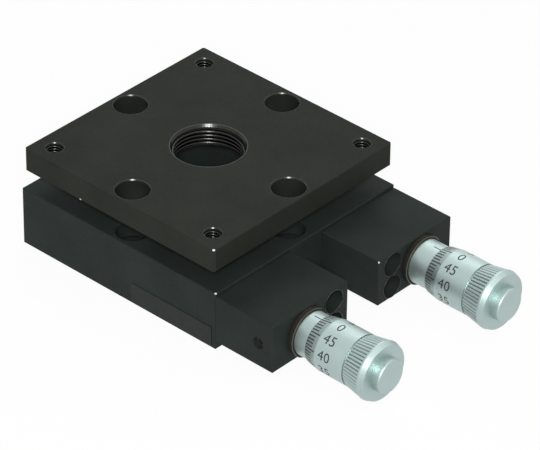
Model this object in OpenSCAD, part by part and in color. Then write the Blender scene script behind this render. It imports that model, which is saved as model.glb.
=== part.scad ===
// Two-axis tilt stage: a square table on three balls over a low base, tilted by two micrometer heads.
// Millimetres. X runs from the base towards the micrometers, Z is up, and the origin is the centre of
// the base's underside. "near" is the -Y side and "far" the +Y side.
// The near head's ramp lifts the table's +X end and the far head's ramp lifts its +Y side, and both
// tilts turn about the pivot ball in the remaining corner.

/* [Table] */
// Side of the square table
table_w = 60; // [57:0.5:61]
// Thickness of the table
table_t = 6; // [5:0.25:9]
// Cut across each upright corner of the table
table_corner = 0.65; // [0.4:0.05:2.5]
// Small bevel along the table's edges
table_edge = 0.15; // [0.1:0.05:0.6]
// Distance of the tapped corner holes from the table's sides
hole_edge = 5; // [4:0.25:7]
// Thread size of the corner holes
corner_thread_d = 4; // [3:0.5:5]
// Thread size of the centre hole
centre_thread_d = 17; // [12:0.5:18]
// Bevel at the mouths of the centre hole
centre_bevel = 0.6; // [0.2:0.1:1]
// Bevel at the mouths of the small holes
hole_bevel = 0.25; // [0.1:0.05:0.4]

/* [Base] */
// Reach of the base's two ends past the table
base_end_over = 0.75; // [0.3:0.05:2]
// Reach of the base's two sides past the table
base_side_over = 0.2; // [0.05:0.05:1]
// Cut across each upright corner of the base
base_corner = 0.2; // [0.1:0.05:1.5]
// Small bevel along the base's edges
base_edge = 0.2; // [0.1:0.05:0.5]
// Gap between the base and the level table
gap_h = 5.3; // [5:0.1:6.5]
// Distance of the base's screws from the table's sides
bolt_edge = 5; // [4:0.25:7]
// Diameter of the base's screw holes
bolt_hole_d = 4.5; // [3.4:0.1:4.8]
// Diameter of the pockets for the screw heads, and of the table's holes over them
screw_pass_d = 8; // [7:0.25:8.5]
// Depth of the pockets for the screw heads
bolt_head_t = 4.5; // [3.5:0.25:5]
// Diameter of the light opening through the base
aperture_d = 16; // [12:0.5:17]

/* [Head blocks] */
// Length of each head block along X
block_l = 17.4; // [15:0.2:22]
// Height of each head block
block_h = 12.4; // [12:0.1:12.8]
// Height of the blocks' underside over the base's underside
block_lift = 2.2; // [1.8:0.1:2.6]
// Drop of the blocks' top below the base's top
block_drop = 0.8; // [0.4:0.1:1.4]
// Small bevel along the blocks' edges
block_edge = 0.2; // [0.1:0.05:0.5]
// Distance of each micrometer's axis from its block's outer side
head_inset = 10.9; // [10.3:0.1:12]
// Wall between a block's bore for the sleeve and its screw pockets
block_web = 1.8; // [1.2:0.1:3]
// Wall between a block's screw pockets and its inner side
block_rim = 1.81; // [1.2:0.01:3]
// Thread size of the block screws
block_screw_d = 3; // [2.5:0.5:3]
// Length of the block screws' shanks
block_screw_l = 16; // [13:1:20]
// Length of the block screws' thread in the base
block_screw_bite = 8; // [5:0.5:10]
// Diameter of the dowels between blocks and base
dowel_d = 2.5; // [2:0.5:3]
// Length of the dowels
dowel_l = 8; // [6:0.5:10]
// Distance of the clamp screws from the blocks' outer face
clamp_setback = 4.4; // [3:0.2:7]

/* [Micrometer heads] */
// Distance of the sleeves' inner ends from the base
sleeve_setback = 2.4; // [2:0.1:5]
// Width of the collars' flat ring round the sleeves
collar_rim = 1.5; // [1:0.1:1.6]
// Thickness of the collars
collar_t = 1.5; // [1:0.1:2.5]
// Length of sleeve that shows between the collars and the thimbles, at the level pose
sleeve_show = 3.45; // [1:0.05:4]
// Step from the sleeves' barrel down to the part that the blocks hold
barrel_step = 0.9; // [0.6:0.05:1.2]
// Wall of the sleeves round the spindles' screws
sleeve_wall = 1.35; // [1.2:0.05:1.6]
// Step from the spindles' screw down to their smooth part
screw_step = 0.7; // [0.4:0.05:1]
// Travel from the level pose towards the base
in_travel = 0.5; // [0.3:0.05:0.8]
// Travel from the level pose away from the base
out_travel = 3.5; // [2:0.1:3.8]
// How much further out the far screw stands than the near one, at the level pose
far_out = 1.7; // [0:0.05:2]
// Diameter of the thimbles behind their graduated bevel
thimble_d = 12.9; // [12.5:0.1:13.5]
// Length of the graduated bevel
thimble_bevel_l = 3.4; // [2:0.1:5]
// Wall of the thimbles behind their graduated bevel
thimble_wall = 0.8; // [0.7:0.05:1.1]
// Wall of the thimbles at their mouth
thimble_edge = 0.2; // [0.15:0.05:0.5]
// Length of the graduated thimbles
thimble_l = 11.9; // [10:0.1:18]
// Widening of the grips towards their rim, on each side
grip_flare = 0.85; // [0.4:0.05:1.1]
// Length of the knurled band
knurl_l = 4.7; // [4:0.1:8]
// Length of the smooth rim behind the knurled band
rim_l = 1.7; // [1.4:0.1:2.4]
// Number of teeth in the knurled band
knurl_teeth = 52; // [40:4:72]
// Depth of the knurled teeth
knurl_depth = 0.22; // [0.1:0.02:0.3]
// Diameter of the end caps
cap_d = 8.4; // [6:0.2:9]
// Height of the end caps over the grips
cap_t = 2.2; // [1.2:0.1:3]

/* [Tilt mechanism] */
// Distance of the pivot and of the near ball from the table's ends
ball_inset = 14; // [12:0.5:16]
// Diameter of the three balls
ball_d = 6; // [5.5:0.1:6.3]
// Rise of the ramps for each unit of travel
ramp_rise_share = 0.5; // [0.4:0.05:0.5]
// Width of the ramp slides
slide_w = 8; // [7:0.2:8.4]
// Floor left under the slides
slide_floor = 3.2; // [2.5:0.1:4]
// Diameter of the ball seats
seat_d = 9; // [8.5:0.1:10]
// Thickness of the ball seats
seat_t = 4; // [3.6:0.1:4.4]
// Height of the seats over the face that holds them
seat_proud = 0.95; // [0.8:0.05:1.1]
// Diameter of the push rods
rod_d = 4; // [3:0.2:4.4]
// Wall of the far push rod's bush
bush_wall = 1; // [0.8:0.1:1.3]
// Length of the far push rod's bush
bush_l = 10; // [6:0.5:11]

/* [Springs] */
// Mean diameter of the spring coils
coil_d = 4.4; // [4:0.1:4.8]
// Diameter of the spring wire
wire_d = 0.7; // [0.5:0.05:0.75]
// Whole turns in each spring, before the last three quarters of a turn
coil_turns = 7; // [5:1:7]
// Diameter of the pins under the springs
pin_d = 1.5; // [1:0.1:1.8]
// Length of the pins under the springs
pin_l = 8.8; // [7.5:0.2:10]

/* [Label] */
// Length of the blank label
label_l = 25; // [15:0.5:26]
// Height of the blank label
label_h = 5.2; // [3:0.1:8]

/* [Hidden] */
$fn = 72;

// Overrun of every cut past the face that it opens
overrun = 0.5;
// Radial gap of a piece that is pressed, glued or screwed into its hole
fit_gap = 0.02;
// Radial gap of a piece that turns or slides in its hole
run_gap = 0.05;
// Gap between a ball and what it rolls or rests on
ball_gap = 0.06;
// Gap between two end faces that push on each other
push_gap = 0.05;
// Sideways and endways gap round a slide in its slot
slot_gap = 0.1;
// Gap left at the end of a travel
stop_gap = 0.15;
// Gap between a slide at the end of its travel and its slot's end
slot_end = 0.3;
// Radius of the slots' corners, which the slides' cut corners clear
slot_corner = 1.5;
// Length of ramp past the outermost contact of its ball
ramp_margin = 1.2;

// Plan of the base and table
base_l = table_w + 2 * base_end_over;
base_w = table_w + 2 * base_side_over;
base_h = block_lift + block_h + block_drop;
corner_pitch = table_w - 2 * hole_edge;
bolt_circle_d = table_w - 2 * bolt_edge;
head_y = base_w / 2 - head_inset;

// Heights of the base's and table's faces, of the ball centres and of the spindles
table_z = base_h + gap_h;
ball_z = base_h + gap_h / 2;
head_z = block_lift + block_h / 2;

// The pivot and the two driven balls stand at three corners of a rectangle
ball_x = table_w / 2 - ball_inset;
ball_r = ball_d / 2;
ramp_angle = atan(ramp_rise_share);
seat_reach = gap_h / 2 - seat_proud;

// Places along the micrometers' axes, at the level pose
base_end_x = base_l / 2;
face_x = base_end_x + block_l;
collar_x = face_x + collar_t;
mouth_x = collar_x + sleeve_show;
groove_x = mouth_x + thimble_l;
rim_x = groove_x + knurl_l;
end_x = rim_x + rim_l;
tip_x = base_end_x - out_travel - stop_gap;
// How much further out than that a screw stands: side is -1 for near and 1 for far
function screw_out(side) = side > 0 ? far_out : 0;

// Diameters of a micrometer head, from the thimble inwards
thimble_bore_d = thimble_d - 2 * thimble_wall;
thimble_mouth_d = thimble_bore_d + 2 * thimble_edge;
barrel_gap = 0.15;
barrel_d = thimble_bore_d - 2 * barrel_gap;
sleeve_d = barrel_d - 2 * barrel_step;
screw_d = sleeve_d - 2 * (sleeve_wall + run_gap);
spindle_d = screw_d - 2 * screw_step;
collar_d = sleeve_d + 2 * collar_rim;
grip_d = thimble_d + 2 * grip_flare;

// Sleeve and nut inside the thimble
hub_t = 1.2;
thimble_clear = 0.4;
sleeve_end_x = groove_x - hub_t - in_travel - thimble_clear;
nut_l = 3.5;
nut_wall_share = 0.7;
nut_seat_d = sleeve_d - nut_wall_share * (sleeve_d - screw_d);
screw_bore_l = 15;
thimble_lip = 0.1;
groove_w = 0.35;
groove_t = 0.35;

// Spindle, grip and end cap
tip_dome_share = 1.6;
tip_dome_r = tip_dome_share * spindle_d;
screw_start_x = sleeve_end_x - screw_bore_l + in_travel + out_travel;
shoulder_setback = 1.4;
shoulder_x = groove_x + shoulder_setback;
cap_screw_d = spindle_d / 2;
cap_screw_l = 5;
cap_round = 0.5;
grip_neck_d = thimble_d;
rim_bevel = 0.45;
rim_bevel_l = 1.3;
rim_round = 0.25;
rim_step = 0.06;
knurl_crest_share = 0.35;

// Block screws, clamp screws and dowels
screw_head_share = 1.83;
block_screw_head_d = screw_head_share * block_screw_d;
head_clear = 0.2;
block_pocket_d = block_screw_head_d + 2 * head_clear;
block_sill = 0.2;
block_screw_pitch = block_h - block_pocket_d - 2 * block_sill;
block_w = head_inset + sleeve_d / 2 + block_web + block_pocket_d + block_rim;
socket_share = 0.83;
socket_depth_share = 0.5;
clamp_d = 3;
clamp_recess = 1;
clamp_socket_d = 1.73;
dowel_y = head_y + (slide_w / 2 + slot_gap + head_inset) / 2;
block_screw_y = base_w / 2 - block_w + block_rim + block_pocket_d / 2;
counterbore_l = block_l + block_screw_bite - block_screw_l;
bore_bevel = 0.3;

// Thrust pads, push rod and its bores
pad_inset = 0.7;
pad_d = slide_w - 2 * pad_inset;
pad_t = 3;
pad_bevel = 0.3;
pad_socket_l = 1.8;
pad_x = tip_x - push_gap - pad_t;
near_pocket_x = pad_x - in_travel - stop_gap;
far_pocket_x = near_pocket_x + far_out;
rod_socket_l = 2.5;
rod_clear = 0.2;
bush_d = rod_d + 2 * bush_wall;
slide_tail_wall = 0.55;
slide_tail_z = head_z + pad_d / 2 + slide_tail_wall;
vee_reach = 1.5;

// Springs, their pins and posts
// They stand midway between the light opening and a screw's pocket
spring_r = (aperture_d / 2 + (bolt_circle_d - screw_pass_d) / 2) / 2;
hook_r = 1.5;
wire_r = wire_d / 2;
coil_r = coil_d / 2;
spring_hole_d = coil_d + wire_d + 1.3;
pin_slot_h = 3;
pin_z = pin_slot_h - pin_d / 2 - fit_gap;
low_hook_z = pin_z - pin_d / 2 + hook_r - wire_r - push_gap;
post_eye_d = 2;
post_w = 4.6;
post_thick = 1.2;
post_drop = 3.8;
post_web = 0.85;
post_screw_d = 3;
post_screw_l = 3.2;
post_eye_z = table_z - post_drop + post_web + post_eye_d / 2;
high_hook_z = post_eye_z - post_eye_d / 2 + wire_r - hook_r + push_gap;
spring_mid_z = (low_hook_z + high_hook_z) / 2;
coil_rise = 2;
hook_lead = 1;
wire_sides = 6;
rings_per_turn = 8;
hook_step = 30;
hook_start = 120;
lead_steps = 4;
coil_start = 45;

// Label
label_t = 0.15;
label_end_gap = 1.2;
label_drop_gap = 0.5;

black = [0.13, 0.13, 0.14];
satin = [0.80, 0.82, 0.82];
steel = [0.62, 0.63, 0.66];
bronze = [0.66, 0.49, 0.28];

// Rectangle round the origin with its corners cut at 45 degrees
module cut_rect(l, w, c) {
  polygon([
    [l / 2 - c, -w / 2], [l / 2, -w / 2 + c], [l / 2, w / 2 - c], [l / 2 - c, w / 2],
    [-l / 2 + c, w / 2], [-l / 2, w / 2 - c], [-l / 2, -w / 2 + c], [-l / 2 + c, -w / 2]
  ]);
}

// Block that stands on its origin, with cut upright corners and a small bevel on its other edges
module bevelled_block(l, w, h, corner, edge) {
  intersection() {
    linear_extrude(h) cut_rect(l, w, corner);
    translate([0, 0, h / 2]) rotate([90, 0, 0]) linear_extrude(w, center = true) cut_rect(l, h, edge);
    translate([0, 0, h / 2]) rotate([90, 0, 90]) linear_extrude(l, center = true) cut_rect(w, h, edge);
  }
}

// Cutter for a hole up through a plate of thickness t, with a bevel at both mouths
module through_hole(d, t, bevel) {
  translate([0, 0, -overrun]) cylinder(d = d, h = t + 2 * overrun);
  translate([0, 0, -overrun]) cylinder(d1 = d + 2 * (bevel + overrun), d2 = d, h = bevel + overrun);
  translate([0, 0, t - bevel]) cylinder(d1 = d, d2 = d + 2 * (bevel + overrun), h = bevel + overrun);
}

// Puts its children at the four corners of a square with side a
module at_square(a) {
  for (x = [-a / 2, a / 2], y = [-a / 2, a / 2]) {
    translate([x, y, 0]) children();
  }
}

// Puts its children at four places on a circle with diameter d
module at_cross(d) {
  for (k = [0 : 3]) {
    rotate([0, 0, 90 * k]) translate([d / 2, 0, 0]) children();
  }
}

// Turned piece along X from a half outline of [radius, place along X]
module turned(outline) {
  rotate([0, 90, 0]) rotate_extrude() polygon(outline);
}

// Cylinder along X from x0 to x1
module bar(d, x0, x1) {
  translate([x0, 0, 0]) rotate([0, 90, 0]) cylinder(d = d, h = x1 - x0);
}

// Carries its children to a micrometer's axis: side is -1 for near and 1 for far
module at_head(side) {
  translate([0, side * head_y, head_z]) children();
}

// The same, further out where that side's screw is
module at_screw(side) {
  at_head(side) translate([screw_out(side), 0, 0]) children();
}

// Cutter for a slot from x0 to x1 with round corners, standing on z = 0
module slot_cut(x0, x1, w, h) {
  translate([x0 + slot_corner, -w / 2, 0]) cube([x1 - x0 - 2 * slot_corner, w, h]);
  translate([x0, -w / 2 + slot_corner, 0]) cube([x1 - x0, w - 2 * slot_corner, h]);
  for (x = [x0 + slot_corner, x1 - slot_corner], y = [-w / 2 + slot_corner, w / 2 - slot_corner]) {
    translate([x, y, 0]) cylinder(r = slot_corner, h = h);
  }
}

// Place of a spring: turn is 0 for the near one and -90 for the rear one
module at_spring(turn) {
  rotate([0, 0, turn]) translate([0, -spring_r, 0]) rotate([0, 0, 90]) children();
}

module at_springs() {
  for (turn = [0, -90]) {
    at_spring(turn) children();
  }
}

// Hardened seat with a right-angled cone for a ball, its open face up at z = 0
module ball_seat() {
  cone_depth = (ball_r + ball_gap) * sqrt(2) - seat_reach;
  difference() {
    translate([0, 0, -seat_t]) cylinder(d = seat_d, h = seat_t);
    translate([0, 0, -cone_depth]) cylinder(r1 = 0, r2 = cone_depth + overrun, h = cone_depth + overrun);
  }
}

// Pocket for a ball seat, sunk down from z = 0
module seat_pocket() {
  depth = seat_t - seat_proud + fit_gap;
  translate([0, 0, -depth]) cylinder(d = seat_d + 2 * fit_gap, h = depth + overrun);
}

// Places along X of a ramp, for a ball at ball_at that touches it contact below its centre line
function ramp_low_x(ball_at, contact) = ball_at + contact * sin(ramp_angle) - out_travel - ramp_margin;
function ramp_high_x(ball_at, contact) = ball_at + contact * sin(ramp_angle) + in_travel + ramp_margin;
// Height at x of the ramp plane that lies reach from the centre of the ball at ball_at
function ramp_z(x, ball_at, reach) = ball_z + ramp_rise_share * (x - ball_at) - reach / cos(ramp_angle);

vee_contact = ball_r * sqrt(1 / 2);
near_low_x = ramp_low_x(ball_x, vee_contact);
near_high_x = ramp_high_x(ball_x, vee_contact);
near_tail_x = near_high_x + rod_socket_l;
far_low_x = ramp_low_x(-ball_x, ball_r);
far_high_x = ramp_high_x(-ball_x, ball_r);
far_tail_x = far_high_x + rod_socket_l;
slide_z = slide_floor + run_gap;

module base_body() {
  slot_w = slide_w + 2 * slot_gap;
  slot_h = base_h - slide_floor + overrun;
  near_slot_x0 = near_low_x - in_travel - slot_end;
  near_slot_x1 = near_tail_x + out_travel + slot_end;
  far_slot_x0 = far_low_x - in_travel - slot_end;
  far_slot_x1 = far_tail_x + out_travel + slot_end;
  color(black) difference() {
    bevelled_block(base_l, base_w, base_h, base_corner, base_edge);
    through_hole(aperture_d, base_h, hole_bevel);
    at_cross(bolt_circle_d) {
      through_hole(bolt_hole_d, base_h, hole_bevel);
      translate([0, 0, base_h - bolt_head_t]) through_hole(screw_pass_d, bolt_head_t, hole_bevel);
    }
    // Slots that the two ramp slides run in
    translate([0, -head_y, slide_floor]) slot_cut(near_slot_x0, near_slot_x1, slot_w, slot_h);
    translate([0, head_y, slide_floor]) slot_cut(far_slot_x0, far_slot_x1, slot_w, slot_h);
    // Bores for the thrust pads, and for the long push rod of the far slide
    at_head(-1) bar(slot_w, min(near_pocket_x, near_slot_x1 - slot_corner), base_end_x + overrun);
    at_head(1) {
      bar(slot_w, far_pocket_x, base_end_x + overrun);
      bar(bush_d + 2 * fit_gap, far_pocket_x - bush_l, far_pocket_x + overrun);
      bar(rod_d + 2 * rod_clear, far_slot_x1 - slot_corner, far_pocket_x);
    }
    translate([-ball_x, -head_y, base_h]) seat_pocket();
    // Holes for the springs, and the grooves that hold their pins
    at_springs() {
      through_hole(spring_hole_d, base_h, hole_bevel);
      translate([-pin_d / 2 - fit_gap, -pin_l / 2 - fit_gap, -overrun]) {
        cube([pin_d + 2 * fit_gap, pin_l + 2 * fit_gap, pin_slot_h + overrun]);
      }
    }
    // Tapped holes and dowel holes in the end that carries the head blocks
    for (side = [-1, 1]) {
      translate([0, side * block_screw_y, head_z]) at_pair(block_screw_pitch) {
        bar(block_screw_d + 2 * fit_gap, base_end_x - block_screw_bite - overrun, base_end_x + overrun);
      }
      translate([0, side * dowel_y, head_z]) {
        bar(dowel_d + 2 * fit_gap, base_end_x - dowel_l / 2 - fit_gap, base_end_x + overrun);
      }
    }
  }
}

// Puts its children half a pitch above and half a pitch below
module at_pair(pitch) {
  for (z = [-pitch / 2, pitch / 2]) {
    translate([0, 0, z]) children();
  }
}

module head_block(side) {
  color(black) difference() {
    translate([base_end_x + block_l / 2, side * (base_w - block_w) / 2, block_lift]) {
      bevelled_block(block_l, block_w, block_h, block_edge, block_edge);
    }
    at_head(side) {
      bar(sleeve_d + 2 * fit_gap, base_end_x - overrun, face_x + overrun);
      turned([
        [0, face_x - bore_bevel],
        [sleeve_d / 2 + fit_gap, face_x - bore_bevel],
        [sleeve_d / 2 + fit_gap + bore_bevel + overrun, face_x + overrun],
        [0, face_x + overrun]
      ]);
    }
    translate([0, side * block_screw_y, head_z]) at_pair(block_screw_pitch) {
      bar(block_screw_d + 2 * head_clear, base_end_x - overrun, face_x);
      bar(block_pocket_d, face_x - counterbore_l, face_x + overrun);
    }
    translate([0, side * dowel_y, head_z]) {
      bar(dowel_d + 2 * fit_gap, base_end_x - overrun, base_end_x + dowel_l / 2 + fit_gap);
    }
    translate([face_x - clamp_setback, side * head_y, head_z]) rotate([-90 * side, 0, 0]) {
      cylinder(d = clamp_d + 2 * fit_gap, h = head_inset + overrun);
    }
  }
}

module near_head_block() { head_block(-1); }
module far_head_block() { head_block(1); }

// Socket head screw along X: shank from x0 to x1, head beyond x1
module cap_screw(d, x0, x1) {
  head_d = screw_head_share * d;
  bevel = d / 10;
  difference() {
    turned([
      [0, x0], [d / 2 - bevel, x0], [d / 2, x0 + bevel], [d / 2, x1], [head_d / 2, x1],
      [head_d / 2, x1 + d - bevel], [head_d / 2 - bevel, x1 + d], [0, x1 + d]
    ]);
    translate([x1 + d * (1 - socket_depth_share), 0, 0]) rotate([0, 90, 0]) {
      cylinder(d = socket_share * d * 2 / sqrt(3), h = d, $fn = 6);
    }
  }
}

module block_screws() {
  seat_x = face_x - counterbore_l;
  color(steel) for (side = [-1, 1]) {
    translate([0, side * block_screw_y, head_z]) at_pair(block_screw_pitch) {
      cap_screw(block_screw_d, seat_x - block_screw_l, seat_x);
    }
  }
}

module block_dowels() {
  color(steel) for (side = [-1, 1]) {
    translate([0, side * dowel_y, head_z]) bar(dowel_d, base_end_x - dowel_l / 2, base_end_x + dowel_l / 2);
  }
}

// Headless screws in the blocks' outer sides that hold the sleeves
module clamp_screws() {
  foot_y = sleeve_d / 2 + push_gap;
  clamp_l = head_inset - clamp_recess - foot_y;
  color(steel) for (side = [-1, 1]) {
    translate([face_x - clamp_setback, side * head_y, head_z]) rotate([-90 * side, 0, 0]) {
      translate([0, 0, foot_y]) difference() {
        cylinder(d = clamp_d, h = clamp_l);
        translate([0, 0, clamp_l * (1 - socket_depth_share)]) {
          cylinder(d = clamp_socket_d, h = clamp_l, $fn = 6);
        }
      }
    }
  }
}

// Fixed barrel of a micrometer head: a plain bore for the spindle and a thread bore behind it
module sleeve(side) {
  bore_step_x = sleeve_end_x - screw_bore_l;
  color(satin) at_head(side) turned([
    [spindle_d / 2 + run_gap, base_end_x + sleeve_setback],
    [sleeve_d / 2, base_end_x + sleeve_setback],
    [sleeve_d / 2, collar_x],
    [barrel_d / 2, collar_x],
    [barrel_d / 2, sleeve_end_x - nut_l],
    [nut_seat_d / 2, sleeve_end_x - nut_l],
    [nut_seat_d / 2, sleeve_end_x],
    [screw_d / 2 + run_gap, sleeve_end_x],
    [screw_d / 2 + run_gap, bore_step_x],
    [spindle_d / 2 + run_gap, bore_step_x]
  ]);
}

module near_sleeve() { sleeve(-1); }
module far_sleeve() { sleeve(1); }

// Ring that clamps a sleeve against its block
module collar(side) {
  bevel = collar_t / 5;
  color(black) at_head(side) turned([
    [sleeve_d / 2 + fit_gap, face_x],
    [collar_d / 2 - bevel, face_x],
    [collar_d / 2, face_x + bevel],
    [collar_d / 2, collar_x - bevel],
    [collar_d / 2 - bevel, collar_x],
    [sleeve_d / 2 + fit_gap, collar_x]
  ]);
}

module near_collar() { collar(-1); }
module far_collar() { collar(1); }

// Nut on the sleeve's outer end that closes the thread's play
module adjusting_nut(side) {
  color(bronze) at_head(side) turned([
    [nut_seat_d / 2 + fit_gap, sleeve_end_x - nut_l + fit_gap],
    [sleeve_d / 2, sleeve_end_x - nut_l + fit_gap],
    [sleeve_d / 2, sleeve_end_x - nut_l / 4],
    [nut_seat_d / 2 + (sleeve_d - nut_seat_d) / 4, sleeve_end_x],
    [nut_seat_d / 2 + fit_gap, sleeve_end_x]
  ]);
}

module near_adjusting_nut() { adjusting_nut(-1); }
module far_adjusting_nut() { adjusting_nut(1); }

module lower_pivot_seat() {
  color(steel) translate([-ball_x, -head_y, base_h + seat_proud]) ball_seat();
}

module rod_bush() {
  color(bronze) at_head(1) difference() {
    bar(bush_d, far_pocket_x - bush_l, far_pocket_x);
    bar(rod_d + 2 * run_gap, far_pocket_x - bush_l - overrun, far_pocket_x + overrun);
  }
}

module spring_pins() {
  color(steel) at_springs() {
    translate([0, pin_l / 2, pin_z]) rotate([90, 0, 0]) cylinder(d = pin_d, h = pin_l);
  }
}

// Sweeps of round wire along a list of points
function unit(v) = v / norm(v);
function tangents(p) = [
  for (i = [0 : len(p) - 1]) unit(p[min(i + 1, len(p) - 1)] - p[max(i - 1, 0)])
];
// Sideways directions that turn no more than the path needs, one for each tangent
function side_dirs(t, first) = [
  for (i = 0, u = unit(first - (first * t[0]) * t[0]);
       i < len(t);
       i = i + 1, u = i < len(t) ? unit(u - (u * t[i]) * t[i]) : u) u
];
function ring_points(c, t, u, r) = [
  for (k = [0 : wire_sides - 1])
    c + r * (cos(360 * k / wire_sides) * u + sin(360 * k / wire_sides) * cross(t, u))
];
function tube_points(p, t, u, r) = [
  for (i = [0 : len(p) - 1]) each ring_points(p[i], t[i], u[i], r)
];
function tube_faces(rings) = [
  [for (k = [0 : wire_sides - 1]) k],
  for (i = [0 : rings - 2], k = [0 : wire_sides - 1]) each [
    [i * wire_sides + k, (i + 1) * wire_sides + k, i * wire_sides + (k + 1) % wire_sides],
    [
      i * wire_sides + (k + 1) % wire_sides,
      (i + 1) * wire_sides + k,
      (i + 1) * wire_sides + (k + 1) % wire_sides
    ]
  ],
  [for (k = [wire_sides - 1 : -1 : 0]) (rings - 1) * wire_sides + k]
];

// Lower half of a spring's centre line: hook, lead and half of the coil, from the free end upwards
coil_z0 = low_hook_z + coil_rise;
coil_span = 360 * coil_turns + 360 - 2 * coil_start;
coil_pitch = 2 * (spring_mid_z - coil_z0) / (coil_span / 360);
coil_steps = round(coil_span / 2 / (360 / rings_per_turn));
function coil_point(a) = [
  coil_r * cos(coil_start + a), coil_r * sin(coil_start + a), coil_z0 + coil_pitch * a / 360
];
hook_points = [
  for (a = [hook_start : hook_step : 360]) [hook_r * cos(a), 0, low_hook_z + hook_r * sin(a)]
];
lead_a = [hook_r, 0, low_hook_z];
lead_b = lead_a + [0, 0, hook_lead];
lead_d = coil_point(0);
lead_c = lead_d - hook_lead * unit(coil_point(1) - lead_d);
lead_points = [
  for (k = [1 : lead_steps - 1]) let (s = k / lead_steps, q = 1 - s)
    q * q * q * lead_a + 3 * q * q * s * lead_b + 3 * q * s * s * lead_c + s * s * s * lead_d
];
coil_points = [for (k = [0 : coil_steps - 1]) coil_point(k * coil_span / 2 / coil_steps)];
half_path = concat(hook_points, lead_points, coil_points);
mid_point = coil_point(coil_span / 2);
other_half = [
  for (i = [len(half_path) - 1 : -1 : 0])
    [half_path[i].x, -half_path[i].y, 2 * spring_mid_z - half_path[i].z]
];
spring_path = concat(half_path, [mid_point], other_half);

// Least gap between stretches of the wire that are half a turn or more apart
wire_gaps = [
  for (i = [0 : len(spring_path) - 1], j = [i + rings_per_turn / 2 + 1 : 1 : len(spring_path) - 1])
    norm(spring_path[i] - spring_path[j]) - wire_d
];
echo(least_wire_gap = min(wire_gaps), wire_rings = len(spring_path));

// Extension spring with a hook at each end, drawn at the centre
module spring() {
  t = tangents(spring_path);
  u = side_dirs(t, [0, 1, 0]);
  polyhedron(tube_points(spring_path, t, u, wire_r), tube_faces(len(spring_path)));
}

module near_spring() {
  color(steel) at_spring(0) spring();
}

module rear_spring() {
  color(steel) at_spring(-90) spring();
}

// Blank label on the base's near side
module blank_label() {
  color(black) translate([base_end_x - label_end_gap - label_l, -base_w / 2 - label_t, label_drop_gap]) {
    cube([label_l, label_t, label_h]);
  }
}

// Ramp slide: a bar with a sloping top under the ball and a low tail for the push
module slide_body(low_x, high_x, tail_x, ball_at, reach) {
  intersection() {
    rotate([90, 0, 0]) linear_extrude(slide_w, center = true) polygon([
      [low_x, slide_z],
      [tail_x, slide_z],
      [tail_x, slide_tail_z],
      [high_x, slide_tail_z],
      [high_x, ramp_z(high_x, ball_at, reach)],
      [low_x, ramp_z(low_x, ball_at, reach)]
    ]);
    translate([(low_x + tail_x) / 2, 0, 0]) linear_extrude(table_z) {
      cut_rect(tail_x - low_x, slide_w, slot_corner);
    }
  }
}

module near_slide() {
  vee_depth = (ball_r + ball_gap) * sqrt(2);
  vee_half = vee_depth - vee_reach + overrun;
  color(steel) difference() {
    translate([0, -head_y, 0]) slide_body(near_low_x, near_high_x, near_tail_x, ball_x, vee_reach);
    // Right-angled groove down the ramp, which keeps the table from turning
    translate([ball_x, -head_y, ball_z]) rotate([0, -ramp_angle, 0]) rotate([90, 0, 90]) {
      linear_extrude(2 * (near_high_x - near_low_x), center = true) {
        polygon([[0, -vee_depth], [vee_half, vee_half - vee_depth], [-vee_half, vee_half - vee_depth]]);
      }
    }
    at_head(-1) bar(rod_d + 2 * fit_gap, near_high_x, near_tail_x + overrun);
  }
}

module far_slide() {
  color(steel) difference() {
    translate([0, head_y, 0]) {
      slide_body(far_low_x, far_high_x, far_tail_x, -ball_x, ball_r + ball_gap);
    }
    at_head(1) bar(rod_d + 2 * fit_gap, far_high_x, far_tail_x + overrun);
  }
}

// Push rod from the socket of a slide to the socket of its thrust pad
module push_rod(side, high_x) {
  color(steel) at_head(side) bar(rod_d, high_x + fit_gap, pad_x + screw_out(side) + pad_socket_l);
}

module near_push_rod() { push_rod(-1, near_high_x); }
module far_push_rod() { push_rod(1, far_high_x); }

// Round pad on a push rod's end, which the spindle pushes on
module thrust_pad(side) {
  x1 = pad_x + pad_t;
  color(bronze) at_screw(side) difference() {
    turned([
      [0, pad_x], [pad_d / 2, pad_x], [pad_d / 2, x1 - pad_bevel], [pad_d / 2 - pad_bevel, x1], [0, x1]
    ]);
    bar(rod_d + 2 * fit_gap, pad_x - overrun, pad_x + pad_socket_l + fit_gap);
  }
}

module near_thrust_pad() { thrust_pad(-1); }
module far_thrust_pad() { thrust_pad(1); }

// Micrometer spindle: domed tip, smooth shaft, screw, and a shoulder for the grip
module spindle(side) {
  color(steel) at_screw(side) difference() {
    intersection() {
      turned([
        [0, tip_x],
        [spindle_d / 2, tip_x],
        [spindle_d / 2, screw_start_x],
        [screw_d / 2, screw_start_x + (screw_d - spindle_d) / 2],
        [screw_d / 2, shoulder_x],
        [spindle_d / 2, shoulder_x],
        [spindle_d / 2, end_x - push_gap],
        [0, end_x - push_gap]
      ]);
      union() {
        translate([tip_x + tip_dome_r, 0, 0]) sphere(r = tip_dome_r);
        bar(2 * screw_d, tip_x + tip_dome_r, end_x);
      }
    }
    bar(cap_screw_d + 2 * fit_gap, end_x - cap_screw_l - fit_gap, end_x);
  }
}

module near_spindle() { spindle(-1); }
module far_spindle() { spindle(1); }

// Graduated thimble: a bevelled skirt round the sleeve, with a hub on the spindle
module thimble(side) {
  color(satin) at_screw(side) turned([
    [thimble_bore_d / 2, mouth_x],
    [thimble_mouth_d / 2 - thimble_lip, mouth_x],
    [thimble_mouth_d / 2, mouth_x + thimble_lip],
    [thimble_d / 2, mouth_x + thimble_bevel_l],
    [thimble_d / 2, groove_x - groove_w],
    [thimble_d / 2 - groove_t, groove_x - groove_w],
    [thimble_d / 2 - groove_t, groove_x],
    [screw_d / 2 + fit_gap, groove_x],
    [screw_d / 2 + fit_gap, groove_x - hub_t],
    [thimble_bore_d / 2, groove_x - hub_t]
  ]);
}

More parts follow.
